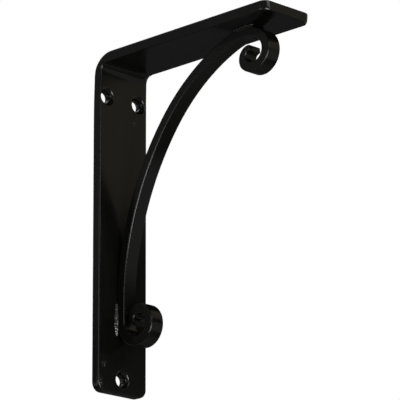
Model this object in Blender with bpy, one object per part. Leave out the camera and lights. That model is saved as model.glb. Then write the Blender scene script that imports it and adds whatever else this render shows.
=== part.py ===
"""Wrought iron shelf bracket: a bent angle bar, a scrolled brace under it, and the weld beads that join them.

Metres, +Z up. The origin is at the middle of the wall leg's back face. The wall is the plane Y = 0,
the shelf leg reaches out along -Y, and +X is to the right as one faces the wall.
Side profiles are drawn in (out, up): out is the distance from the wall, which is -Y.
"""
import math

import bmesh
import bpy
import numpy as np

MM = 0.001

# Driving dimensions of the angle bar
HEIGHT = 268.0 * MM
REACH = 186.0 * MM
BAR_WIDTH = 50.0 * MM
BAR_THICKNESS = 8.0 * MM
BEND_OUTSIDE_RADIUS = 19.5 * MM
BEND_INSIDE_RADIUS = 8.5 * MM
FOOT_CORNER_RADIUS = 7.4 * MM
NOSE_CORNER_RADIUS = 6.3 * MM
ARRIS_RADIUS = 1.0 * MM

# Screw holes in the wall leg, as (across, up) from the origin
BORE_DIAMETER = 9.2 * MM
COUNTERSINK_DIAMETER = 14.0 * MM
COUNTERSINK_ANGLE = math.radians(90.0)
UPPER_HOLE_HEIGHT = 100.6 * MM
UPPER_HOLE_PITCH = 33.2 * MM
UPPER_PAIR_OFFSET = -0.8 * MM
LOWER_HOLE_HEIGHT = -122.6 * MM
LOWER_HOLE_OFFSET = -0.3 * MM

# Driving dimensions of the scrolled brace; each bend is (radius inside the curve, degrees turned)
BRACE_WIDTH = 12.6 * MM
BRACE_THICKNESS = 7.9 * MM
SEAM = 0.3 * MM
ARCH_BENDS = ((210.5 * MM, 39.25), (146.2 * MM, 32.25), (45.9 * MM, 18.5))
UPPER_SCROLL_BENDS = ((25.3 * MM, 36.4), (8.95 * MM, 191.8))
UPPER_SCROLL_TAIL = (4.0 * MM, 127.6)
CONTACT_RUN = 12.6 * MM
LOWER_SCROLL_BENDS = ((36.3 * MM, 5.2), (13.9 * MM, 80.0), (8.7 * MM, 184.4))
LOWER_SCROLL_TAIL = (3.1 * MM, 127.4)
TIP_THICKNESS = 4.6 * MM
TIP_SOFTNESS = 0.7

# Weld beads: the fillet's legs and how far each bead runs; the rest are shares of the leg
BEAD_LEG = 2.8 * MM
BEAD_CROWN = 0.68
BEAD_SHOULDER = (0.5, 0.37)
BEAD_RIPPLE = 0.1
BEAD_END = 0.35
UPPER_BEAD_START = 134.0 * MM
UPPER_BEAD_LENGTH = 21.0 * MM
LOWER_BEAD_START = -90.0 * MM
LOWER_BEAD_LENGTH = 27.0 * MM

# Working values: how far a cutter passes the face it cuts, when two places are one, which edges are arrises
CUT_OVERRUN = 2.0 * MM
SAME_PLACE = 0.01 * MM
ARRIS_ANGLE = math.radians(50.0)
SMOOTH_ANGLE = math.radians(35.0)

# How finely curves are divided
BEND_STEPS = 10
CORNER_STEPS = 6
HOLE_SIDES = 40
STEP_LENGTH = 5.0 * MM
STEP_DEGREES = 11.0
ARRIS_STEPS = 2
BEAD_STEPS = 13

COAT_COLOUR = (0.0065, 0.0062, 0.0060, 1.0)
WELD_COLOUR = (0.0085, 0.0082, 0.0080, 1.0)


def clear_scene():
    for thing in list(bpy.data.objects):
        bpy.data.objects.remove(thing, do_unlink=True)


def coat_material(name, colour, roughness):
    """Black coated iron: a dark, slightly glossy dielectric skin."""
    material = bpy.data.materials.new(name)
    material.use_nodes = True
    shader = material.node_tree.nodes["Principled BSDF"]
    shader.inputs["Base Color"].default_value = colour
    shader.inputs["Roughness"].default_value = roughness
    shader.inputs["Metallic"].default_value = 0.0
    return material


def place(name, bm, material):
    """Makes an object of the mesh, with its normals out and its round surfaces shaded smooth."""
    bmesh.ops.recalc_face_normals(bm, faces=bm.faces)
    mesh = bpy.data.meshes.new(name)
    bm.to_mesh(mesh)
    bm.free()
    mesh.materials.append(material)
    mesh.shade_smooth()
    mesh.set_sharp_from_angle(angle=SMOOTH_ANGLE)
    thing = bpy.data.objects.new(name, mesh)
    bpy.context.scene.collection.objects.link(thing)
    return thing


def arc(centre, radius, start, end, steps):
    """Points on a circle in (out, up), from one angle in degrees to another."""
    turns = np.radians(np.linspace(start, end, steps + 1))
    return [(centre[0] + radius * math.cos(a), centre[1] + radius * math.sin(a)) for a in turns]


def angle_outline():
    """The L seen from its side, in (out, up)."""
    top = HEIGHT / 2
    outside = (BEND_OUTSIDE_RADIUS, top - BEND_OUTSIDE_RADIUS)
    inside = (BAR_THICKNESS + BEND_INSIDE_RADIUS, top - BAR_THICKNESS - BEND_INSIDE_RADIUS)
    outline = [(0.0, -top)]
    outline += arc(outside, BEND_OUTSIDE_RADIUS, 180.0, 90.0, BEND_STEPS)
    outline += [(REACH, top), (REACH, top - BAR_THICKNESS)]
    outline += arc(inside, BEND_INSIDE_RADIUS, 90.0, 180.0, BEND_STEPS)
    outline += [(BAR_THICKNESS, -top)]
    return outline


def corner_edges(bm, axis, level):
    """The two edges across the bar's thickness at the free end that lies at this level of the axis."""
    found = []
    for edge in bm.edges:
        first, second = (vert.co for vert in edge.verts)
        at_end = max(abs(first[axis] - level), abs(second[axis] - level)) < SAME_PLACE
        across_bar = abs(first.x - second.x) > SAME_PLACE
        if at_end and not across_bar:
            found.append(edge)
    return found


def screw_hole_cutter(index, across, up):
    """A bore with its countersink on the front face, as one turned shape that reaches past both faces."""
    bore = BORE_DIAMETER / 2
    slope = math.tan(COUNTERSINK_ANGLE / 2)
    sink_depth = (COUNTERSINK_DIAMETER / 2 - bore) / slope
    mouth = COUNTERSINK_DIAMETER / 2 + CUT_OVERRUN * slope
    throat = BAR_THICKNESS - sink_depth
    stations = [(bore, -CUT_OVERRUN), (bore, throat), (mouth, BAR_THICKNESS + CUT_OVERRUN)]
    bm = bmesh.new()
    rings = []
    for radius, out in stations:
        ring = []
        for k in range(HOLE_SIDES):
            turn = 2 * math.pi * k / HOLE_SIDES
            ring.append(bm.verts.new((radius * math.cos(turn), -out, radius * math.sin(turn))))
        rings.append(ring)
    for low, high in zip(rings, rings[1:]):
        for k in range(HOLE_SIDES):
            after = (k + 1) % HOLE_SIDES
            bm.faces.new((low[k], low[after], high[after], high[k]))
    bm.faces.new(rings[0])
    bm.faces.new(rings[-1])
    bmesh.ops.recalc_face_normals(bm, faces=bm.faces)
    mesh = bpy.data.meshes.new("screw_hole_cutter")
    bm.to_mesh(mesh)
    bm.free()
    cutter = bpy.data.objects.new(f"screw_hole_cutter_{index}", mesh)
    bpy.context.scene.collection.objects.link(cutter)
    cutter.location = (across, 0.0, up)
    cutter.hide_render = True
    cutter.display_type = "WIRE"
    return cutter


def make_angle_bar(material):
    half = BAR_WIDTH / 2
    bm = bmesh.new()
    side = bm.faces.new([bm.verts.new((-half, -out, up)) for out, up in angle_outline()])
    grown = bmesh.ops.extrude_face_region(bm, geom=[side])["geom"]
    moved = [item for item in grown if isinstance(item, bmesh.types.BMVert)]
    bmesh.ops.translate(bm, verts=moved, vec=(BAR_WIDTH, 0.0, 0.0))
    for axis, level, radius in ((1, -REACH, NOSE_CORNER_RADIUS), (2, -HEIGHT / 2, FOOT_CORNER_RADIUS)):
        bmesh.ops.bevel(bm, geom=corner_edges(bm, axis, level), offset=radius, segments=CORNER_STEPS,
                        profile=0.5, affect="EDGES", offset_type="OFFSET")
    bar = place("angle_bar", bm, material)
    arris = bar.modifiers.new("rounded arrises", "BEVEL")
    arris.width = ARRIS_RADIUS
    arris.segments = ARRIS_STEPS
    arris.limit_method = "ANGLE"
    arris.angle_limit = ARRIS_ANGLE
    upper_left = (UPPER_PAIR_OFFSET - UPPER_HOLE_PITCH / 2, UPPER_HOLE_HEIGHT)
    upper_right = (UPPER_PAIR_OFFSET + UPPER_HOLE_PITCH / 2, UPPER_HOLE_HEIGHT)
    lower = (LOWER_HOLE_OFFSET, LOWER_HOLE_HEIGHT)
    for index, (across, up) in enumerate((upper_left, upper_right, lower)):
        hole = bar.modifiers.new(f"screw hole {index}", "BOOLEAN")
        hole.operation = "DIFFERENCE"
        hole.solver = "EXACT"
        hole.object = screw_hole_cutter(index, across, up)
    return bar


def bent_line(start, heading, bends, turn):
    """Stations (out, up, heading) along a line bent in arcs; turn is -1 clockwise and 1 anticlockwise."""
    out, up = start
    stations = [(out, up, heading)]
    for radius, degrees in bends:
        length = radius * math.radians(degrees)
        steps = max(2, math.ceil(length / STEP_LENGTH), math.ceil(degrees / STEP_DEGREES))
        swing = math.radians(degrees) / steps
        chord = 2 * radius * math.sin(swing / 2)
        for _ in range(steps):
            middle = heading + turn * swing / 2
            out += chord * math.cos(middle)
            up += chord * math.sin(middle)
            heading += turn * swing
            stations.append((out, up, heading))
    return stations


def with_thickness(stations, tail):
    """Adds the bar's thickness to each station: full size, then drawn down over the tail's stations."""
    first = len(stations) - tail
    sized = []
    for k, (out, up, heading) in enumerate(stations):
        share = max(0, k - first + 1) / tail
        sized.append((out, up, heading, BRACE_THICKNESS + (TIP_THICKNESS - BRACE_THICKNESS) * share))
    return sized


def scroll_half(start, heading, bends, tail_bend, turn):
    body = bent_line(start, heading, bends, turn)
    out, up, at_tail = body[-1]
    tail = bent_line((out, up), at_tail, [tail_bend], turn)[1:]
    return with_thickness(body + tail, len(tail))


def brace_stations():
    """The brace from its lower tip to its upper tip, as (out, up, heading, thickness) on its inside face."""
    on_wall = BAR_THICKNESS + SEAM + BRACE_THICKNESS
    under_shelf = HEIGHT / 2 - BAR_THICKNESS - SEAM - BRACE_THICKNESS
    rise = 0.0
    swept = 0.0
    for radius, degrees in ARCH_BENDS:
        before = math.sin(math.radians(swept))
        swept += degrees
        rise += radius * (math.sin(math.radians(swept)) - before)
    arch_foot = under_shelf - rise
    upper_bends = ARCH_BENDS + UPPER_SCROLL_BENDS
    upper = scroll_half((on_wall, arch_foot), math.pi / 2, upper_bends, UPPER_SCROLL_TAIL, -1)
    contact_end = arch_foot - CONTACT_RUN
    lower = scroll_half((on_wall, contact_end), -math.pi / 2, LOWER_SCROLL_BENDS, LOWER_SCROLL_TAIL, 1)
    lower_up = [(out, up, heading + math.pi, thick) for out, up, heading, thick in reversed(lower)]
    return lower_up + upper


def bar_section(width, thickness, arris):
    """A flat bar's cross-section with rounded arrises: points (across, away from the inside face)."""
    points = []
    for side, depth, start in ((1, 0, -90), (1, 1, 0), (-1, 1, 90), (-1, 0, 180)):
        centre_across = side * (width / 2 - arris)
        centre_away = thickness - arris if depth else arris
        for step in range(ARRIS_STEPS + 1):
            turn = math.radians(start + 90 * step / ARRIS_STEPS)
            points.append((centre_across + arris * math.cos(turn), centre_away + arris * math.sin(turn)))
    return points


def ring_at(bm, station, inset, advance):
    """One ring of the bar's section at a station, drawn in by inset and moved along by advance."""
    out, up, heading, thickness = station
    ahead = (math.cos(heading), math.sin(heading))
    away = (-math.sin(heading), math.cos(heading))
    ring = []
    for across, depth in bar_section(BRACE_WIDTH - 2 * inset, thickness - 2 * inset, ARRIS_RADIUS - inset):
        depth += inset
        ring_out = out + away[0] * depth + ahead[0] * advance
        ring_up = up + away[1] * depth + ahead[1] * advance
        ring.append(bm.verts.new((across, -ring_out, ring_up)))
    return ring


def skin(bm, rings):
    """Joins rings of equal length into a closed tube with flat ends."""
    for near, far in zip(rings, rings[1:]):
        for k in range(len(near)):
            after = (k + 1) % len(near)
            bm.faces.new((near[k], near[after], far[after], far[k]))
    bm.faces.new(rings[0])
    bm.faces.new(rings[-1])


def softened_tip(bm, station, direction):
    """Two rings past a tip that round its end's edges, outermost first; direction is -1 back or 1 on."""
    radius = ARRIS_RADIUS * TIP_SOFTNESS
    halfway = math.radians(45)
    inset = radius * (1 - math.cos(halfway))
    advance = radius * math.sin(halfway)
    end = ring_at(bm, station, radius, direction * radius)
    shoulder = ring_at(bm, station, inset, direction * advance)
    return [end, shoulder]


def make_scroll_brace(material):
    stations = brace_stations()
    bm = bmesh.new()
    rings = softened_tip(bm, stations[0], -1)
    rings += [ring_at(bm, station, 0.0, 0.0) for station in stations]
    rings += reversed(softened_tip(bm, stations[-1], 1))
    skin(bm, rings)
    return place("scroll_brace", bm, material)


def bead_section(leg):
    """A fillet's section as (along one bar, along the other): two flat legs and a crowned face."""
    crown = leg * BEAD_CROWN
    far = leg * (BEAD_SHOULDER[0] + BEAD_SHOULDER[1])
    near = leg * BEAD_SHOULDER[1]
    return [(0.0, 0.0), (leg, 0.0), (far, near), (crown, crown), (near, far), (0.0, leg)]


def make_weld_bead(name, side, root, along, away, length, material):
    """A fillet bead beside the brace, from its root corner (out, up), running along, standing away."""
    bm = bmesh.new()
    rings = []
    edge = side * (BRACE_WIDTH / 2 + SEAM)
    for k in range(BEAD_STEPS):
        share = k / (BEAD_STEPS - 1)
        fade = BEAD_END + (1 - BEAD_END) * math.sqrt(math.sin(math.pi * share))
        ripple = 1 + BEAD_RIPPLE * (1 if k % 2 else -1)
        ring = []
        for across, off in bead_section(BEAD_LEG * fade * ripple):
            out = root[0] + along[0] * length * share + away[0] * off
            up = root[1] + along[1] * length * share + away[1] * off
            ring.append(bm.verts.new((edge + side * across, -out, up)))
        rings.append(ring)
    skin(bm, rings)
    return place(name, bm, material)


def make_weld_beads(material):
    under_shelf = HEIGHT / 2 - BAR_THICKNESS - SEAM
    on_wall = BAR_THICKNESS + SEAM
    for word, side in (("left", -1), ("right", 1)):
        make_weld_bead(f"weld_upper_{word}", side, (UPPER_BEAD_START, under_shelf), (1, 0), (0, -1),
                       UPPER_BEAD_LENGTH, material)
        make_weld_bead(f"weld_lower_{word}", side, (on_wall, LOWER_BEAD_START), (0, 1), (1, 0),
                       LOWER_BEAD_LENGTH, material)


def main():
    clear_scene()
    coat = coat_material("satin black coat on iron", COAT_COLOUR, 0.38)
    weld_coat = coat_material("satin black coat on weld", WELD_COLOUR, 0.3)
    make_angle_bar(coat)
    make_scroll_brace(coat)
    make_weld_beads(weld_coat)


main()
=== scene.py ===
"""The looks of a wrought iron shelf bracket: a bent flat bar, a scrolled brace and four weld beads.

Metres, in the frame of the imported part: the wall is the plane Y = 0, the shelf leg reaches out along -Y,
+Z is up and +X is to the right as one faces the wall. Side profiles are drawn in (out, up), where out is
the distance from the wall.
"""

import math

import bmesh
import bpy
import numpy as np
from mathutils import Matrix, Vector, noise


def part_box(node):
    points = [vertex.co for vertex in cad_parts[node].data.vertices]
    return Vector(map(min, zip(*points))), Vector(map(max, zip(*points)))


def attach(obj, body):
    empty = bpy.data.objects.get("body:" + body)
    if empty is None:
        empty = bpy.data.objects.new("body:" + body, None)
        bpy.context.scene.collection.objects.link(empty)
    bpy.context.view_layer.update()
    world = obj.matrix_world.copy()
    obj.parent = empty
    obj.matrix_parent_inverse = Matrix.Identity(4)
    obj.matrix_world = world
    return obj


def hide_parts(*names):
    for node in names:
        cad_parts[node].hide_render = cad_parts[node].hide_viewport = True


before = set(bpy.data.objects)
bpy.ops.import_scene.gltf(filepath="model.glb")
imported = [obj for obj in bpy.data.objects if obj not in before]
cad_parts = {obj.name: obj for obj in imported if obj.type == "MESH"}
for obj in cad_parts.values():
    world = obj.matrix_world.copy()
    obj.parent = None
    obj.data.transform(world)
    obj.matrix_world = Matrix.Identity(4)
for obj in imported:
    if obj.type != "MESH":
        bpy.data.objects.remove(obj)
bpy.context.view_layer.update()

MM = 0.001
SAME_PLACE = 0.01 * MM

# Flat bar of the angle; its width, reach and height come from the frame's box
bar_low, bar_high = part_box("angle_bar")
BAR_WIDTH = bar_high.x - bar_low.x
REACH = bar_high.y - bar_low.y
HEIGHT = bar_high.z - bar_low.z
BAR_THICKNESS = 8.0 * MM
BEND_OUTSIDE_RADIUS = 19.5 * MM
BEND_INSIDE_RADIUS = 8.5 * MM
FOOT_CORNER_RADIUS = 7.4 * MM
NOSE_CORNER_RADIUS = 6.3 * MM
BAR_ARRIS = 1.0 * MM

# Where the heel of the bend was stretched thin, and how far the stretch reaches down and up the bar
HEEL_THINNING = 0.75 * MM
HEEL_UP = 116.5 * MM
HEEL_FADE_DOWN = 16.0 * MM
HEEL_FADE_UP = 5.0 * MM

# The inside of the bend starts early: the front face leans out below it, more on the left than on the
# right, and its ends are rolled over
LEAN_FROM = 102.0 * MM
LEAN_TO = 117.5 * MM
LEAN_MIDDLE = 0.60 * MM
LEAN_SLANT = 0.30 * MM
LEAN_GONE = 0.55
ROLL_DEPTH = 1.0 * MM
ROLL_WIDTH = 2.5 * MM
ROLL_LENGTH = 7.0 * MM

# The nose corners are dressed round on their under side, and their lower edge is hammered in
NOSE_DRESSING = 0.6 * MM
NOSE_DRESSING_WIDTH = 1.6 * MM
NOSE_HAMMERED = 0.9 * MM
NOSE_HAMMERED_UP = 2.0 * MM
NOSE_HAMMERED_FALL = 4

# Screw holes as (across, up); the countersink opens on the front face
SCREW_HOLES = ((-17.4 * MM, 100.6 * MM), (15.8 * MM, 100.6 * MM), (-0.3 * MM, -122.6 * MM))
BORE_DIAMETER = 9.2 * MM
COUNTERSINK_DIAMETER = 14.0 * MM
CONE_SLOPE = math.radians(45.0)
HOLE_RIM_RADIUS = 1.8 * MM
CUT_OVERRUN = 2.0 * MM

# Flat bar of the brace; each bend is (radius inside the curve, degrees turned)
brace_low, brace_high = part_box("scroll_brace")
BRACE_WIDTH = brace_high.x - brace_low.x
BRACE_THICKNESS = 8.0 * MM
BRACE_ARRIS = 0.85 * MM
ARCH_BENDS = ((210.5 * MM, 39.25), (146.2 * MM, 32.25), (45.9 * MM, 18.5))
UPPER_SCROLL_BENDS = ((25.3 * MM, 36.4), (8.95 * MM, 191.8))
UPPER_SCROLL_TAIL = (4.0 * MM, 127.6)
CONTACT_RUN = 12.6 * MM
LOWER_SCROLL_BENDS = ((36.3 * MM, 5.2), (13.9 * MM, 80.0), (8.7 * MM, 184.4))
LOWER_SCROLL_TAIL = (3.1 * MM, 127.4)
TIP_THICKNESS = 4.6 * MM
TIP_ROUNDING = 0.4 * MM

# Hand-worked surfaces: slow waves in the rolled faces, always cut into the stock and never standing proud
WAVE_LENGTH = 26.0 * MM
WAVE_DEPTH = 0.06 * MM
DENT_LENGTH = 7.0 * MM
DENT_DEPTH = 0.02 * MM

# Weld beads: legs as (off the brace's side, away from the flat bar), where they start, how long they run
# and how the puddle left them; ripples and lumps are shares of the leg
UPPER_BEAD_LEGS = (1.7 * MM, 2.4 * MM)
LOWER_BEAD_LEGS = (2.6 * MM, 1.4 * MM)
UPPER_BEAD_TAPER = 1.3
LOWER_BEAD_TAPER = 1.0
BEAD_END = 0.12
BEAD_FLATTENING = 0.07
BEAD_HOLLOW = 3.2
BEAD_SUNK = 0.25 * MM
BEAD_BITE = 1.6 * MM
BRACE_CONTACT_OUT = 144.9 * MM
UPPER_BEAD_START = 134.3 * MM
UPPER_BEAD_LENGTH = 20.8 * MM
LOWER_BEAD_START = -89.1 * MM
LOWER_BEAD_LENGTH = 26.6 * MM
RIPPLE_PITCH = 1.9 * MM
RIPPLE_DEPTH = 0.12
RIPPLE_SWEEP = 0.8
RIPPLE_WANDER = 0.35
RIPPLE_WANDER_LENGTH = 5.0 * MM
RIPPLE_ROUNDNESS = 0.6
RIPPLE_MIDDLE = 0.6
LUMP_LENGTH = 3.4 * MM
LUMP_DEPTH = 0.2
LUMPS_ACROSS = 1.3

# How finely the meshes are divided
ROW_SPACING = 1.6 * MM
ACROSS_STEPS = 34
CORNER_STEPS = 10
ARRIS_STEPS = 5
SIDE_STEPS = 10
BEND_STEPS = 20
HOLE_SIDES = 72
BRACE_STEP_LENGTH = 1.8 * MM
BRACE_STEP_DEGREES = 3.5
BRACE_ACROSS_STEPS = 8
BRACE_DEEP_STEPS = 5
BEAD_STEPS = 110
BEAD_ACROSS_STEPS = 16

# The powder coat: orange peel a millimetre or two from crest to crest, and a film whose thickness drifts
# over a couple of centimetres
PEEL_LENGTH = 1.6 * MM
PEEL_DEPTH = 0.03 * MM
PEEL_STRENGTH = 0.25
CLOUD_LENGTH = 22.0 * MM
CLOUD_THIN = 0.3
CLOUD_THICK = 0.7
THIN_FILM = "#080807"
THICK_FILM = "#0c0c0b"
BAR_ROUGHNESS = 0.19
WELD_ROUGHNESS = 0.15
ROUGHER_WHERE_THICK = 0.03
COAT_IOR = 1.5

# Places rubbed in handling, as ((x, y, z), reach) in mm. Grain breaks up their outline: the coat is rubbed
# where the grain and the push toward the middle of such a place add up to enough
SCUFFS = (((-24.0, -7.5, -127.0), 7.0), ((-19.5, -8.0, -113.0), 5.0), ((12.0, -8.0, 84.0), 4.0))
SCUFF_GRAIN = 1.3 * MM
SCUFF_PUSH = 0.34
SCUFF_STARTS = 0.72
SCUFF_BARES = 0.84
RUBBED_FILM = "#3a3937"
RUBBED_ROUGHNESS = 0.5

# The floor of the room, in metres, and its paint, with roller mottle a third of a metre from crest to crest
FLOOR_LEVEL = -2.0
FLOOR_REACH = 2.5
FLOOR_LIGHTEST = "#edebe8"
FLOOR_DARKEST = "#e6e4e0"
MOTTLE_LENGTH = 1.0 / 3.0
FLOOR_ROUGHNESS = 0.7

# Camera, as the photograph was taken: from the left, below and a little over two metres away
PICTURE_PIXELS = 400
SENSOR = 36.0
FOCAL_PIXELS = 3081.2
CAMERA_AZIMUTH = math.radians(44.924)
CAMERA_ELEVATION = math.radians(16.024)
CAMERA_ROLL = math.radians(-0.201)
CAMERA_DISTANCE = 2347.2 * MM
CAMERA_AIM = Vector((0.0, -60.0, 0.0)) * MM
AIM_RIGHT = 22.70 * MM
AIM_UP = 9.09 * MM
NEAREST_SEEN = 0.1
FARTHEST_SEEN = 50.0

# How bright the room is that the coat mirrors between the lamps, and how far off a lamp stands in metres
ROOM_LIGHT = 0.005
LAMP_DISTANCE = 1.6


def link(thing):
    """Puts an object in the scene."""
    bpy.context.scene.collection.objects.link(thing)
    return thing


def mesh_object(name, points, faces):
    """A smooth-shaded mesh in the scene."""
    mesh = bpy.data.meshes.new(name)
    mesh.from_pydata([tuple(point) for point in points], [], faces)
    mesh.update()
    mesh.shade_smooth()
    return link(bpy.data.objects.new(name, mesh))


def smooth_wave(points, length, seed):
    """A smooth random wave between 0 and 1 at each point, with the given length from crest to crest."""
    shift = Vector((seed, seed * 0.37, seed * 0.61))
    scale = 1.0 / length
    values = [noise.noise(Vector(point) * scale + shift) for point in points]
    return 0.5 + 0.5 * np.clip(np.array(values), -1.0, 1.0)


def worked_depth(points, seed):
    """How far the hand-worked face lies under the true one."""
    waves = smooth_wave(points, WAVE_LENGTH, seed) * WAVE_DEPTH
    dents = smooth_wave(points, DENT_LENGTH, seed + 5.0) * DENT_DEPTH
    return waves + dents


def sink(thing, depth):
    """Moves each vertex of a mesh inward along its normal."""
    mesh = thing.data
    count = len(mesh.vertices)
    places = np.empty(count * 3)
    mesh.vertices.foreach_get("co", places)
    normals = np.empty(count * 3)
    mesh.vertex_normals.foreach_get("vector", normals)
    moved = places.reshape(-1, 3) - normals.reshape(-1, 3) * depth[:, None]
    mesh.vertices.foreach_set("co", moved.ravel())
    mesh.update()


def vertex_places(thing):
    """The mesh's vertices as rows of x, y and z."""
    places = np.empty(len(thing.data.vertices) * 3)
    thing.data.vertices.foreach_get("co", places)
    return places.reshape(-1, 3)


def even_normals(thing):
    """Lets the large flat faces set the shading beside the small faces of an arris."""
    keep_flat = thing.modifiers.new("even normals", "WEIGHTED_NORMAL")
    keep_flat.keep_sharp = True


# The angle bar

WALL_RUN = HEIGHT - (BEND_OUTSIDE_RADIUS + BAR_THICKNESS + BEND_INSIDE_RADIUS) / 2
BEND_RUN = math.pi / 2 * (BEND_OUTSIDE_RADIUS + BEND_INSIDE_RADIUS) / 2
SHELF_RUN = REACH - (BEND_OUTSIDE_RADIUS + BAR_THICKNESS + BEND_INSIDE_RADIUS) / 2
BAR_RUN = WALL_RUN + BEND_RUN + SHELF_RUN


def bent_surface(along, inset, radius):
    """(out, up) of a surface of the L that lies inset from the wall and the shelf and turns at a radius."""
    leg_end = HEIGHT / 2 - inset - radius
    shelf_start = inset + radius
    wall_share = np.clip(along / WALL_RUN, None, 1.0)
    bend = np.clip((along - WALL_RUN) / BEND_RUN, 0.0, 1.0) * math.pi / 2
    shelf_share = np.clip((along - WALL_RUN - BEND_RUN) / SHELF_RUN, 0.0, None)
    up = -HEIGHT / 2 + (leg_end + HEIGHT / 2) * wall_share + radius * np.sin(bend)
    out = inset + radius * (1.0 - np.cos(bend)) + (REACH - shelf_start) * shelf_share
    return out, up


def heel_thinning(up):
    """How far the back face is drawn in where the bend begins."""
    fade = np.where(up < HEEL_UP, HEEL_FADE_DOWN, HEEL_FADE_UP)
    return HEEL_THINNING * np.exp(-((up - HEEL_UP) / fade) ** 2)


def inside_lean(across, along, up):
    """How far the front face stands out where the bend starts early; it dies away within the bend."""
    risen = np.clip((up - LEAN_FROM) / (LEAN_TO - LEAN_FROM), 0.0, 1.0) ** 2
    turned = np.clip((along - WALL_RUN) / (BEND_RUN * LEAN_GONE), 0.0, 1.0)
    left = 1.0 - turned ** 2 * (3.0 - 2.0 * turned)
    return risen * left * (LEAN_MIDDLE - LEAN_SLANT * across / (BAR_WIDTH / 2))


def rolled_end(across, along):
    """How far the front face drops toward its side edges inside the bend."""
    from_edge = np.clip(BAR_WIDTH / 2 - np.abs(across), 0.0, None)
    from_middle = along - WALL_RUN - BEND_RUN / 2
    return ROLL_DEPTH * np.exp(-from_edge / ROLL_WIDTH - (from_middle / ROLL_LENGTH) ** 2)


def nose_corner(across, along):
    """A point in a nose corner: how far aside, ahead and off from its centre, and how cornerwise."""
    aside = np.clip(np.abs(across) - (BAR_WIDTH / 2 - NOSE_CORNER_RADIUS), 0.0, None)
    ahead = np.clip(along - (BAR_RUN - NOSE_CORNER_RADIUS), 0.0, None)
    reach = np.maximum(np.hypot(aside, ahead), SAME_PLACE)
    return aside, ahead, reach, 2.0 * aside * ahead / reach ** 2


def dressed_nose(across, along):
    """How far the front face drops at the two nose corners."""
    _, _, reach, cornerwise = nose_corner(across, along)
    from_edge = np.clip(NOSE_CORNER_RADIUS - reach, 0.0, None)
    return NOSE_DRESSING * cornerwise * np.exp(-from_edge / NOSE_DRESSING_WIDTH)


def nose_hammered_in(across, along, depth):
    """(across, along) with the lower edge of the nose corners drawn in toward the corner's centre."""
    aside, ahead, reach, cornerwise = nose_corner(across, along)
    near_edge = (reach / NOSE_CORNER_RADIUS) ** NOSE_HAMMERED_FALL
    inward = NOSE_HAMMERED * cornerwise * near_edge * np.exp(-depth / NOSE_HAMMERED_UP)
    return across - np.sign(across) * inward * aside / reach, along - inward * ahead / reach


def bent_place(across, along, depth):
    """The place on the bent bar of a point of the straight one; depth runs from front face to back."""
    across, along = nose_hammered_in(across, along, depth)
    share = depth / BAR_THICKNESS
    inner_out, inner_up = bent_surface(along, BAR_THICKNESS, BEND_INSIDE_RADIUS)
    turned = np.clip((along - WALL_RUN) / BEND_RUN, 0.0, 1.0) * math.pi / 2
    proud = inside_lean(across, along, inner_up) - rolled_end(across, along)
    proud = proud - dressed_nose(across, along)
    inner_out = inner_out + proud * np.cos(turned)
    inner_up = inner_up - proud * np.sin(turned)
    outer_out, outer_up = bent_surface(along, 0.0, BEND_OUTSIDE_RADIUS)
    outer_out = outer_out + np.where(along < WALL_RUN + BEND_RUN / 2, heel_thinning(outer_up), 0.0)
    out = inner_out + (outer_out - inner_out) * share
    up = inner_up + (outer_up - inner_up) * share
    return np.stack([across, -out, up], axis=-1)


def bar_rows():
    """Rows across the bar: (along, half width, sideways, endways), the last two the edge's direction."""
    rows = []
    radius = FOOT_CORNER_RADIUS - BAR_ARRIS
    for step in range(CORNER_STEPS + 1):
        turn = math.pi / 2 * step / CORNER_STEPS
        along = FOOT_CORNER_RADIUS - radius * math.cos(turn)
        half = BAR_WIDTH / 2 - FOOT_CORNER_RADIUS + radius * math.sin(turn)
        rows.append((along, half, math.sin(turn), -math.cos(turn)))
    straight = BAR_WIDTH / 2 - BAR_ARRIS
    bend_end = WALL_RUN + BEND_RUN
    nose_start = BAR_RUN - NOSE_CORNER_RADIUS
    for first, last, count in (
        (FOOT_CORNER_RADIUS, WALL_RUN, round((WALL_RUN - FOOT_CORNER_RADIUS) / ROW_SPACING)),
        (WALL_RUN, bend_end, BEND_STEPS),
        (bend_end, nose_start, round((nose_start - bend_end) / ROW_SPACING)),
    ):
        for step in range(1, count + 1):
            rows.append((first + (last - first) * step / count, straight, 1.0, 0.0))
    radius = NOSE_CORNER_RADIUS - BAR_ARRIS
    for step in range(1, CORNER_STEPS + 1):
        turn = math.pi / 2 * step / CORNER_STEPS
        along = nose_start + radius * math.sin(turn)
        half = BAR_WIDTH / 2 - NOSE_CORNER_RADIUS + radius * math.cos(turn)
        rows.append((along, half, math.cos(turn), math.sin(turn)))
    return rows


def edge_loop(rows):
    """The face's edge from the foot on: (row, column) and the edge's outward direction (across, along)."""
    last = len(rows) - 1
    loop = [(0, column, 0.0, -1.0) for column in range(ACROSS_STEPS)]
    loop += [(row, ACROSS_STEPS, rows[row][2], rows[row][3]) for row in range(last)]
    loop += [(last, column, 0.0, 1.0) for column in range(ACROSS_STEPS, 0, -1)]
    loop += [(row, 0, -rows[row][2], rows[row][3]) for row in range(last, 0, -1)]
    return loop


def edge_profile():
    """The bar's edge from front face to back as (outward, depth), with both arrises rounded."""
    turns = [math.pi / 2 * step / ARRIS_STEPS for step in range(ARRIS_STEPS + 1)]
    front = [(BAR_ARRIS * math.sin(turn), BAR_ARRIS * (1.0 - math.cos(turn))) for turn in turns]
    flat = BAR_THICKNESS - 2 * BAR_ARRIS
    side = [(BAR_ARRIS, BAR_ARRIS + flat * step / SIDE_STEPS) for step in range(1, SIDE_STEPS)]
    back = [(outward, BAR_THICKNESS - depth) for outward, depth in reversed(front)]
    return front[1:] + side + back[:-1]


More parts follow.
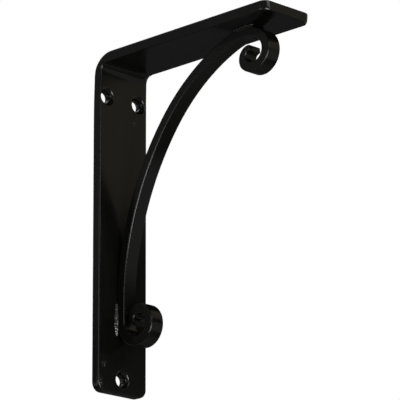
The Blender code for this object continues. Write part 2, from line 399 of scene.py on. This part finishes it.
def straight_bar():
    """The bar before bending: points as (across, along, depth), and faces."""
    rows = bar_rows()
    width = ACROSS_STEPS + 1
    points = []
    for depth in (0.0, BAR_THICKNESS):
        for along, half, _, _ in rows:
            for column in range(width):
                points.append((half * (2.0 * column / ACROSS_STEPS - 1.0), along, depth))
    back = len(rows) * width
    faces = []
    for row in range(len(rows) - 1):
        for column in range(ACROSS_STEPS):
            near = row * width + column
            faces.append((near, near + 1, near + 1 + width, near + width))
            far = back + near
            faces.append((far, far + width, far + 1 + width, far + 1))
    loop = edge_loop(rows)
    rings = [[row * width + column for row, column, _, _ in loop]]
    for outward, depth in edge_profile():
        ring = []
        for row, column, sideways, endways in loop:
            across, along, _ = points[row * width + column]
            ring.append(len(points))
            points.append((across + sideways * outward, along + endways * outward, depth))
        rings.append(ring)
    rings.append([back + row * width + column for row, column, _, _ in loop])
    for near, far in zip(rings, rings[1:]):
        for k in range(len(loop)):
            after = (k + 1) % len(loop)
            faces.append((near[after], near[k], far[k], far[after]))
    return np.array(points), faces


def hole_profile():
    """The screw hole's wall as (radius, depth) from the front face back, with a rounded rim."""
    bore = BORE_DIAMETER / 2
    mouth = COUNTERSINK_DIAMETER / 2
    rim = HOLE_RIM_RADIUS
    bevel = rim * math.tan(CONE_SLOPE / 2)
    cone_depth = mouth - bore
    rim_start = mouth + bevel
    profile = [(rim_start, -CUT_OVERRUN)]
    for step in range(ARRIS_STEPS + 1):
        turn = CONE_SLOPE * step / ARRIS_STEPS
        profile.append((rim_start - rim * math.sin(turn), rim * (1.0 - math.cos(turn))))
    profile.append((bore + bevel, cone_depth - bevel))
    profile.append((bore, cone_depth + bevel))
    profile.append((bore, BAR_THICKNESS + CUT_OVERRUN))
    return profile


def hole_cutters():
    """One mesh of a turned cutter for each screw hole, as deep as the bar and a little over."""
    points = []
    faces = []
    profile = hole_profile()
    turns = [2.0 * math.pi * k / HOLE_SIDES for k in range(HOLE_SIDES)]
    for across, up in SCREW_HOLES:
        base = len(points)
        for radius, depth in profile:
            for turn in turns:
                wall_across = across + radius * math.cos(turn)
                wall_up = up + radius * math.sin(turn)
                points.append((wall_across, depth - BAR_THICKNESS, wall_up))
        for level in range(len(profile) - 1):
            for k in range(HOLE_SIDES):
                near = base + level * HOLE_SIDES
                after = (k + 1) % HOLE_SIDES
                faces.append((near + k, near + after, near + HOLE_SIDES + after, near + HOLE_SIDES + k))
        faces.append(tuple(base + k for k in reversed(range(HOLE_SIDES))))
        end = base + (len(profile) - 1) * HOLE_SIDES
        faces.append(tuple(end + k for k in range(HOLE_SIDES)))
    cutters = mesh_object("screw_hole_cutters", points, faces)
    turn_faces_out(cutters)
    return cutters


def turn_faces_out(thing):
    """Turns every face of a closed mesh to look outward."""
    bm = bmesh.new()
    bm.from_mesh(thing.data)
    bmesh.ops.recalc_face_normals(bm, faces=bm.faces)
    bm.to_mesh(thing.data)
    bm.free()


def cut(thing, cutter):
    """Takes the cutter out of the thing for good."""
    hole = thing.modifiers.new("cut", "BOOLEAN")
    hole.operation = "DIFFERENCE"
    hole.solver = "EXACT"
    hole.object = cutter
    ready = thing.evaluated_get(bpy.context.evaluated_depsgraph_get())
    result = bpy.data.meshes.new_from_object(ready)
    thing.modifiers.clear()
    thing.data = result
    result.shade_smooth()
    bpy.data.objects.remove(cutter, do_unlink=True)


def make_angle_bar(material):
    """The bent flat bar, hand-worked and then drilled."""
    points, faces = straight_bar()
    bar = mesh_object("bent_bar", bent_place(points[:, 0], points[:, 1], points[:, 2]), faces)
    turn_faces_out(bar)
    sink(bar, worked_depth(vertex_places(bar), seed=3.0))
    cut(bar, hole_cutters())
    even_normals(bar)
    bar.data.materials.clear()
    bar.data.materials.append(material)
    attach(bar, "root")
    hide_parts("angle_bar")
    return bar


# The scrolled brace


def bent_line(start, heading, bends, turn):
    """Stations (out, up, heading) along a line bent in arcs; turn is -1 clockwise and 1 anticlockwise."""
    out, up = start
    stations = [(out, up, heading)]
    for radius, degrees in bends:
        length = radius * math.radians(degrees)
        steps = max(2, math.ceil(length / BRACE_STEP_LENGTH), math.ceil(degrees / BRACE_STEP_DEGREES))
        swing = math.radians(degrees) / steps
        chord = 2.0 * radius * math.sin(swing / 2)
        for _ in range(steps):
            middle = heading + turn * swing / 2
            out += chord * math.cos(middle)
            up += chord * math.sin(middle)
            heading += turn * swing
            stations.append((out, up, heading))
    return stations


def scroll_half(start, heading, bends, tail_bend, turn):
    """Stations with the bar's thickness: full size, then drawn down over the last bend to the tip."""
    body = bent_line(start, heading, bends, turn)
    out, up, at_tail = body[-1]
    tail = bent_line((out, up), at_tail, [tail_bend], turn)[1:]
    full = [(*station, BRACE_THICKNESS) for station in body]
    drawn = []
    for k, station in enumerate(tail):
        share = (k + 1) / len(tail)
        drawn.append((*station, BRACE_THICKNESS + (TIP_THICKNESS - BRACE_THICKNESS) * share))
    return full + drawn


def straight_run(out, low, high):
    """Stations straight up the wall leg from low to high, without the two ends."""
    steps = max(1, round((high - low) / BRACE_STEP_LENGTH))
    ups = [low + (high - low) * step / steps for step in range(1, steps)]
    return [(out, up, math.pi / 2, BRACE_THICKNESS) for up in ups]


def brace_stations():
    """The brace's inside face from lower tip to upper tip, as (out, up, heading, thickness)."""
    on_wall = BAR_THICKNESS + BRACE_THICKNESS
    under_shelf = HEIGHT / 2 - BAR_THICKNESS - BRACE_THICKNESS
    rise = 0.0
    swept = 0.0
    for radius, degrees in ARCH_BENDS:
        before = math.sin(math.radians(swept))
        swept += degrees
        rise += radius * (math.sin(math.radians(swept)) - before)
    arch_foot = under_shelf - rise
    contact_end = arch_foot - CONTACT_RUN
    upper_bends = ARCH_BENDS + UPPER_SCROLL_BENDS
    upper = scroll_half((on_wall, arch_foot), math.pi / 2, upper_bends, UPPER_SCROLL_TAIL, -1)
    contact = straight_run(on_wall, contact_end, arch_foot)
    lower = scroll_half((on_wall, contact_end), -math.pi / 2, LOWER_SCROLL_BENDS, LOWER_SCROLL_TAIL, 1)
    lower_up = [(out, up, heading + math.pi, thickness) for out, up, heading, thickness in reversed(lower)]
    return lower_up + contact + upper


def brace_section(width, thickness, arris):
    """The brace's section, arrises rounded and faces divided, as (across, away from inside face)."""
    points = []
    for side, deep, start in ((1, 0, -90.0), (1, 1, 0.0), (-1, 1, 90.0), (-1, 0, 180.0)):
        centre_across = side * (width / 2 - arris)
        centre_away = thickness - arris if deep else arris
        for step in range(ARRIS_STEPS + 1):
            turn = math.radians(start + 90.0 * step / ARRIS_STEPS)
            points.append((centre_across + arris * math.cos(turn), centre_away + arris * math.sin(turn)))
    divided = []
    per_corner = ARRIS_STEPS + 1
    for k, point in enumerate(points):
        divided.append(point)
        if k % per_corner == per_corner - 1:
            after = points[(k + 1) % len(points)]
            steps = BRACE_DEEP_STEPS if (k // per_corner) % 2 == 0 else BRACE_ACROSS_STEPS
            for step in range(1, steps):
                share = step / steps
                across = point[0] + (after[0] - point[0]) * share
                away = point[1] + (after[1] - point[1]) * share
                divided.append((across, away))
    return divided


def brace_ring(station, inset, advance):
    """One ring of the brace's section, drawn in by inset and moved along by advance."""
    out, up, heading, thickness = station
    ahead = (math.cos(heading), math.sin(heading))
    away = (-math.sin(heading), math.cos(heading))
    ring = []
    for across, depth in brace_section(BRACE_WIDTH - 2 * inset, thickness - 2 * inset, BRACE_ARRIS - inset):
        reach = depth + inset
        ring_out = out + away[0] * reach + ahead[0] * advance
        ring_up = up + away[1] * reach + ahead[1] * advance
        ring.append((across, -ring_out, ring_up))
    return ring


def tip_rings(station, direction):
    """Rings that round a tip's edges, outermost first; direction is -1 back or 1 on."""
    rings = []
    for step in range(ARRIS_STEPS, 0, -1):
        turn = math.pi / 2 * step / ARRIS_STEPS
        inset = TIP_ROUNDING * (1.0 - math.cos(turn))
        rings.append(brace_ring(station, inset, direction * TIP_ROUNDING * math.sin(turn)))
    return rings


def tube_faces(rings, size):
    """Faces of a closed tube of rings, with one flat cap at each end."""
    faces = []
    for ring in range(rings - 1):
        for k in range(size):
            after = (k + 1) % size
            near = ring * size
            faces.append((near + k, near + after, near + size + after, near + size + k))
    faces.append(tuple(reversed(range(size))))
    faces.append(tuple((rings - 1) * size + k for k in range(size)))
    return faces


def make_scroll_brace(material):
    """The narrower bar under the angle, arched and with both ends scrolled."""
    stations = brace_stations()
    rings = tip_rings(stations[0], -1)
    rings += [brace_ring(station, 0.0, 0.0) for station in stations]
    rings += reversed(tip_rings(stations[-1], 1))
    points = [point for ring in rings for point in ring]
    brace = mesh_object("scrolled_bar", points, tube_faces(len(rings), len(rings[0])))
    turn_faces_out(brace)
    sink(brace, worked_depth(vertex_places(brace), seed=11.0))
    even_normals(brace)
    brace.data.materials.append(material)
    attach(brace, "root")
    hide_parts("scroll_brace")
    return brace


# The weld beads


def bead_ring(root, away, legs, lift):
    """A fillet between the flat bar and the brace, hollowest near the brace, its root sunk in steel."""
    ring = [root + (away[0] + away[1]) * -BEAD_SUNK]
    for step, raised in enumerate(lift):
        turn = math.pi / 2 * step / (len(lift) - 1)
        hollow = BEAD_FLATTENING * math.sin(2.0 * turn) * (1.0 + BEAD_HOLLOW * math.sin(turn) ** 2)
        crown = 1.0 - hollow + raised
        over = away[0] * legs[0] * math.cos(turn) * crown
        down = away[1] * legs[1] * math.sin(turn) * crown
        sunk = away[1] * -BEAD_SUNK * math.cos(turn) + away[0] * -BEAD_SUNK * math.sin(turn)
        ring.append(root + over + down + sunk)
    return ring


def bead_lift(run, seed):
    """How far the bead's face is raised across one ring: crescent ripples left by the puddle, and lumps."""
    lift = []
    for step in range(BEAD_ACROSS_STEPS + 1):
        across = step / BEAD_ACROSS_STEPS
        trailing = RIPPLE_PITCH * RIPPLE_SWEEP * math.sin(math.pi * across)
        wander = RIPPLE_WANDER * noise.noise(Vector((run / RIPPLE_WANDER_LENGTH, seed, 0.0)))
        phase = (run - trailing) / RIPPLE_PITCH + wander
        crest = abs(math.sin(math.pi * phase)) ** RIPPLE_ROUNDNESS
        lump = noise.noise(Vector((run / LUMP_LENGTH, across * LUMPS_ACROSS, seed + 9.0)))
        lift.append(RIPPLE_DEPTH * (crest - RIPPLE_MIDDLE) + LUMP_DEPTH * lump)
    return lift


def make_weld_bead(name, node, side, start, along, away, length, legs, taper, brace_toe, seed, material):
    """A bead from its start (out, up), running along, one leg sideways and one away from the flat bar."""
    directions = (Vector((side, 0.0, 0.0)), Vector((0.0, -away[0], away[1])))
    rings = []
    for step in range(BEAD_STEPS + 1):
        turn = math.pi * step / BEAD_STEPS
        run = length / 2 * (1.0 - math.cos(turn))
        fade = BEAD_END + (1.0 - BEAD_END) * math.sin(turn) ** taper
        out = start[0] + along[0] * run
        root = Vector((side * BRACE_WIDTH / 2, -out, start[1] + along[1] * run))
        toe = max(legs[1], brace_toe(out)) if brace_toe else legs[1]
        rings.append(bead_ring(root, directions, (legs[0] * fade, toe * fade), bead_lift(run, seed)))
    points = [point for ring in rings for point in ring]
    bead = mesh_object(name, points, tube_faces(len(rings), len(rings[0])))
    turn_faces_out(bead)
    bead.data.materials.append(material)
    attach(bead, "root")
    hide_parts(node)
    return bead


def brace_drop(out):
    """How far down a bead under the shelf must reach to bite on the brace where it curves away."""
    radius = ARCH_BENDS[-1][0] if out < BRACE_CONTACT_OUT else UPPER_SCROLL_BENDS[0][0]
    gap = (out - BRACE_CONTACT_OUT) ** 2 / (2.0 * (radius + BRACE_THICKNESS))
    return gap + BEAD_BITE


def make_weld_beads(material):
    """The four beads: one on each side of the brace, under the shelf leg and on the wall leg."""
    under_shelf = HEIGHT / 2 - BAR_THICKNESS
    for word, side, seed in (("left", -1, 1.7), ("right", 1, 6.2)):
        make_weld_bead(f"upper_{word}_bead", f"weld_upper_{word}", side,
                       (UPPER_BEAD_START, under_shelf), (1, 0), (0, -1), UPPER_BEAD_LENGTH,
                       UPPER_BEAD_LEGS, UPPER_BEAD_TAPER, brace_drop, seed, material)
        make_weld_bead(f"lower_{word}_bead", f"weld_lower_{word}", side,
                       (BAR_THICKNESS, LOWER_BEAD_START), (0, 1), (1, 0), LOWER_BEAD_LENGTH,
                       LOWER_BEAD_LEGS, LOWER_BEAD_TAPER, None, seed + 3.1, material)


# Materials


def linear(hex_colour):
    """An sRGB hex colour as linear RGBA."""
    channels = [int(hex_colour[k:k + 2], 16) / 255.0 for k in (1, 3, 5)]
    straight = [c / 12.92 if c <= 0.04045 else ((c + 0.055) / 1.055) ** 2.4 for c in channels]
    return (*straight, 1.0)


def add_node(tree, kind, inputs=None, **settings):
    """Adds a node; an input's value is a number, a colour or the output of another node to link."""
    made = tree.nodes.new(kind)
    for name, value in settings.items():
        setattr(made, name, value)
    for name, value in (inputs or {}).items():
        if isinstance(value, bpy.types.NodeSocket):
            tree.links.new(value, made.inputs[name])
        else:
            made.inputs[name].default_value = value
    return made


def new_material(name):
    """An empty material and its node tree."""
    material = bpy.data.materials.new(name)
    material.use_nodes = True
    material.node_tree.nodes.clear()
    return material, material.node_tree


def rubbed_places(tree, place, grain):
    """How much the coat is rubbed at each point: a few knocked patches with grainy edges."""
    nearest = None
    for spot, reach in SCUFFS:
        away = add_node(tree, "ShaderNodeVectorMath", {0: place, 1: Vector(spot) * MM},
                        operation="DISTANCE")
        near = add_node(tree, "ShaderNodeMapRange", {
            "Value": away.outputs["Value"], "From Min": 0.0, "From Max": reach * MM,
            "To Min": SCUFF_PUSH, "To Max": 0.0}).outputs["Result"]
        if nearest is None:
            nearest = near
        else:
            either = add_node(tree, "ShaderNodeMath", {0: nearest, 1: near}, operation="MAXIMUM")
            nearest = either.outputs["Value"]
    raised = add_node(tree, "ShaderNodeMath", {0: nearest, 1: grain}, operation="ADD")
    rubbed = add_node(tree, "ShaderNodeMapRange", {
        "Value": raised.outputs["Value"], "From Min": SCUFF_STARTS, "From Max": SCUFF_BARES,
        "To Min": 0.0, "To Max": 1.0})
    return rubbed.outputs["Result"]


def satin_black_powder_coat(name, smoothest):
    """Satin black powder coat, sprayed on the hot-worked bar and baked to a film.

    To the eye: near black, a soft sheen broken by fine orange peel, a little duller where the film is
    thick, and dry grey where the bracket was rubbed. It shines a little more on the welds.
    """
    material, tree = new_material(name)
    place = add_node(tree, "ShaderNodeTexCoord").outputs["Object"]
    peel = add_node(tree, "ShaderNodeTexNoise", {
        "Vector": place, "Scale": 1.0 / PEEL_LENGTH, "Detail": 2.0})
    cloud = add_node(tree, "ShaderNodeTexNoise", {
        "Vector": place, "Scale": 1.0 / CLOUD_LENGTH, "Detail": 3.0})
    grain = add_node(tree, "ShaderNodeTexNoise", {
        "Vector": place, "Scale": 1.0 / SCUFF_GRAIN, "Detail": 3.0})
    thick = cloud.outputs["Fac"]
    rubbed = rubbed_places(tree, place, grain.outputs["Fac"])
    film = add_node(tree, "ShaderNodeMix", {
        "Factor": thick, "A": linear(THIN_FILM), "B": linear(THICK_FILM)}, data_type="RGBA")
    colour = add_node(tree, "ShaderNodeMix", {
        "Factor": rubbed, "A": film.outputs["Result"], "B": linear(RUBBED_FILM)}, data_type="RGBA")
    sheen = add_node(tree, "ShaderNodeMapRange", {
        "Value": thick, "From Min": CLOUD_THIN, "From Max": CLOUD_THICK,
        "To Min": smoothest, "To Max": smoothest + ROUGHER_WHERE_THICK})
    roughness = add_node(tree, "ShaderNodeMix", {
        "Factor": rubbed, "A": sheen.outputs["Result"], "B": RUBBED_ROUGHNESS}, data_type="FLOAT")
    bump = add_node(tree, "ShaderNodeBump", {
        "Height": peel.outputs["Fac"], "Strength": PEEL_STRENGTH, "Distance": PEEL_DEPTH})
    shader = add_node(tree, "ShaderNodeBsdfPrincipled", {
        "Base Color": colour.outputs["Result"], "Roughness": roughness.outputs["Result"],
        "Normal": bump.outputs["Normal"], "IOR": COAT_IOR})
    add_node(tree, "ShaderNodeOutputMaterial", {"Surface": shader.outputs["BSDF"]})
    return material


def matt_floor_paint():
    """Matt off-white floor paint, rolled on. To the eye: pale and even, with faint roller mottle."""
    material, tree = new_material("matt pale floor paint")
    place = add_node(tree, "ShaderNodeTexCoord").outputs["Object"]
    mottle = add_node(tree, "ShaderNodeTexNoise", {
        "Vector": place, "Scale": 1.0 / MOTTLE_LENGTH, "Detail": 4.0})
    colour = add_node(tree, "ShaderNodeMix", {
        "Factor": mottle.outputs["Fac"], "A": linear(FLOOR_DARKEST), "B": linear(FLOOR_LIGHTEST)},
        data_type="RGBA")
    shader = add_node(tree, "ShaderNodeBsdfPrincipled", {
        "Base Color": colour.outputs["Result"], "Roughness": FLOOR_ROUGHNESS})
    add_node(tree, "ShaderNodeOutputMaterial", {"Surface": shader.outputs["BSDF"]})
    return material


# Studio


def make_camera():
    """The camera that took the photograph, its lens set from the focal length in pixels."""
    look = Vector((math.sin(CAMERA_AZIMUTH) * math.cos(CAMERA_ELEVATION),
                   math.cos(CAMERA_AZIMUTH) * math.cos(CAMERA_ELEVATION), math.sin(CAMERA_ELEVATION)))
    level = Vector((math.cos(CAMERA_AZIMUTH), -math.sin(CAMERA_AZIMUTH), 0.0))
    upright = level.cross(look)
    right = level * math.cos(CAMERA_ROLL) + upright * math.sin(CAMERA_ROLL)
    up = upright * math.cos(CAMERA_ROLL) - level * math.sin(CAMERA_ROLL)
    place = CAMERA_AIM - look * CAMERA_DISTANCE + level * AIM_RIGHT + upright * AIM_UP
    lens = bpy.data.cameras.new("camera")
    lens.sensor_width = SENSOR
    lens.lens = SENSOR * FOCAL_PIXELS / PICTURE_PIXELS
    lens.clip_start = NEAREST_SEEN
    lens.clip_end = FARTHEST_SEEN
    camera = link(bpy.data.objects.new("camera", lens))
    turned = Matrix((right, up, -look)).transposed().to_4x4()
    camera.matrix_world = Matrix.Translation(place) @ turned
    bpy.context.scene.camera = camera


def make_floor():
    """The floor of the room, far below a bracket that hangs on a wall."""
    quarters = ((-1, -1), (1, -1), (1, 1), (-1, 1))
    corners = [(x * FLOOR_REACH, y * FLOOR_REACH, FLOOR_LEVEL) for x, y in quarters]
    floor = mesh_object("floor", corners, [(0, 1, 2, 3)])
    floor.data.materials.append(matt_floor_paint())


def make_world():
    """White behind the bracket; for the coat to mirror between the lamps, an even and very dim room."""
    world = bpy.data.worlds.new("studio")
    bpy.context.scene.world = world
    world.use_nodes = True
    tree = world.node_tree
    tree.nodes.clear()
    seen = add_node(tree, "ShaderNodeBackground", {"Color": (1.0, 1.0, 1.0, 1.0), "Strength": 1.0})
    room = add_node(tree, "ShaderNodeBackground", {"Color": (1.0, 1.0, 1.0, 1.0), "Strength": ROOM_LIGHT})
    ray = add_node(tree, "ShaderNodeLightPath")
    both = add_node(tree, "ShaderNodeMixShader", {
        0: ray.outputs["Is Camera Ray"], 1: room.outputs["Background"], 2: seen.outputs["Background"]})
    add_node(tree, "ShaderNodeOutputWorld", {"Surface": both.outputs["Shader"]})


def softbox(name, azimuth, elevation, across, tall, radiance, distance=LAMP_DISTANCE, tint="#ffffff"):
    """A soft lamp that faces the bracket, its place and its two widths given in degrees.

    Azimuth 0 is straight in front and 90 is to the right as one faces the wall.
    """
    turn = math.radians(azimuth)
    tilt = math.radians(elevation)
    toward = Vector((math.sin(turn) * math.cos(tilt), -math.cos(turn) * math.cos(tilt), math.sin(tilt)))
    light = bpy.data.lights.new(name, "AREA")
    light.shape = "RECTANGLE"
    light.color = linear(tint)[:3]
    light.size = 2.0 * distance * math.tan(math.radians(across / 2))
    light.size_y = 2.0 * distance * math.tan(math.radians(tall / 2))
    light.energy = radiance * math.pi * light.size * light.size_y
    lamp = link(bpy.data.objects.new(name, light))
    lamp.location = toward * distance + CAMERA_AIM
    lamp.rotation_mode = "QUATERNION"
    lamp.rotation_quaternion = toward.to_track_quat("Z", "Y")
    lamp.visible_camera = False
    return lamp


def make_lights():
    """The coat shows what it mirrors, so there are lamps for each kind of face and edge."""
    # For the arrises, the beads and the rims of the screw holes
    softbox("low_front_box", -19.0, -20.0, 28.0, 32.0, 8.6)
    softbox("left_box", -82.0, -8.0, 32.7, 16.0, 3.4)
    softbox("left_back_box", -106.4, 8.0, 16.4, 16.0, 2.6)
    softbox("high_front_box", 0.0, 24.0, 34.0, 16.0, 2.0)
    softbox("back_left_box", -155.5, 8.0, 16.4, 16.0, 0.6)
    softbox("low_back_left_box", -136.0, -18.0, 36.0, 20.0, 0.4)
    # Dim and broad, for the left sides, the upper wall leg, the brace's front and the shelf leg's underside
    softbox("high_left_band", -135.0, 22.0, 90.0, 22.0, 0.12)
    softbox("near_right_card", 45.0, 32.0, 70.0, 30.0, 0.22, distance=0.5, tint="#fff4d8")
    softbox("camera_side_box", -54.0, 15.0, 48.0, 22.0, 0.15)
    softbox("dim_right_box", 40.0, -10.0, 70.0, 34.0, 0.18)
    softbox("dim_back_box", 140.0, -16.0, 50.0, 32.0, 0.04)
    # For the right, the back and the lower lips of the screw holes
    softbox("right_card", 96.0, -14.0, 44.0, 32.0, 0.45)
    softbox("back_card", 180.0, 0.0, 30.0, 50.0, 0.3)
    softbox("high_back_box", -170.0, 58.0, 40.0, 36.0, 1.2)


def build():
    bpy.context.scene.view_settings.view_transform = "Standard"
    make_camera()
    coat = satin_black_powder_coat("satin black powder coat", BAR_ROUGHNESS)
    make_angle_bar(coat)
    make_scroll_brace(coat)
    make_weld_beads(satin_black_powder_coat("satin black powder coat on weld", WELD_ROUGHNESS))
    make_floor()
    make_world()
    make_lights()


build()
